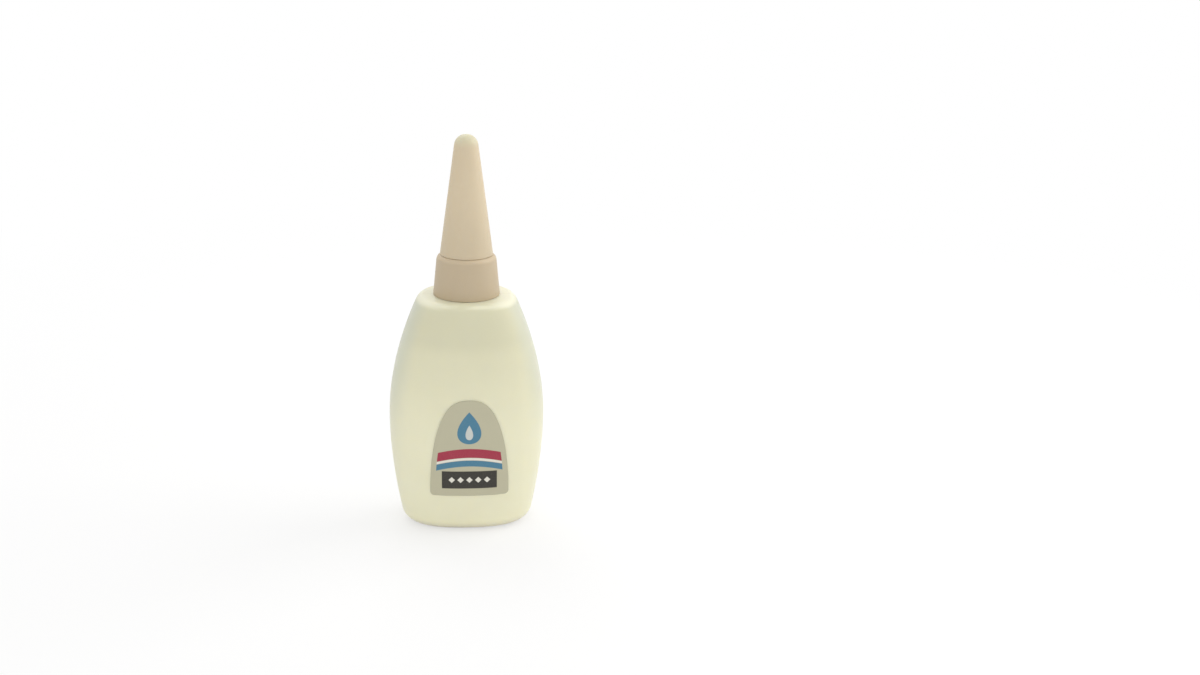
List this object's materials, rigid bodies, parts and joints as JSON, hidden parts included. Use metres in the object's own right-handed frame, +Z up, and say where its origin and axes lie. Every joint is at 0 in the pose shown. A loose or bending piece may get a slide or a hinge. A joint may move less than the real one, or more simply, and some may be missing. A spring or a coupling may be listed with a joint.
{
  "type": "glue squeeze bottle",
  "caption": "Flat oval squeeze bottle of instant adhesive, with a screw-on dropper nozzle under a push-on conical cap and a small arch-topped label.",
  "frame": {"origin": "centre of the base, on the surface that the bottle stands on", "axes": "+Z up along the bottle, cap at the top; -Y is the front with the label; +X is the bottle's right seen from the front"},
  "size_m": [0.046, 0.0283, 0.1177],
  "materials": {
    "bottle_plastic": "satin",
    "adhesive": "gloss",
    "foil": "satin",
    "washer_foam": "matte",
    "closure_plastic": "satin",
    "pin_steel": "satin",
    "label_paper": "matte"
  },
  "bodies": {
    "bottle": {"bottle_body": "bottle_plastic", "adhesive_fill": "adhesive", "foil_seal": "foil", "front_label": "label_paper"},
    "washer": {"sealing_washer": "washer_foam"},
    "nozzle": {"dropper_nozzle": "closure_plastic"},
    "cap": {"cone_cap": "closure_plastic", "anti_clog_pin": "pin_steel"}
  },
  "joints": [
    {"name": "nozzle_rise", "type": "slide", "parent": "bottle", "child": "washer", "axis": [0, 0, 1], "range_m": [0, 0.0053]},
    {"name": "nozzle_turn", "type": "hinge", "parent": "washer", "child": "nozzle", "pos_m": [0, 0, 0.0805], "axis": [0, 0, 1], "range_deg": [0, 900]},
    {"name": "cap_pull", "type": "slide", "parent": "nozzle", "child": "cap", "axis": [0, 0, 1], "range_m": [0, 0.04]}
  ],
  "couplings": [
    {"joint": "nozzle_rise", "follows": "nozzle_turn", "m_per_rad": 0.00033423}
  ]
}
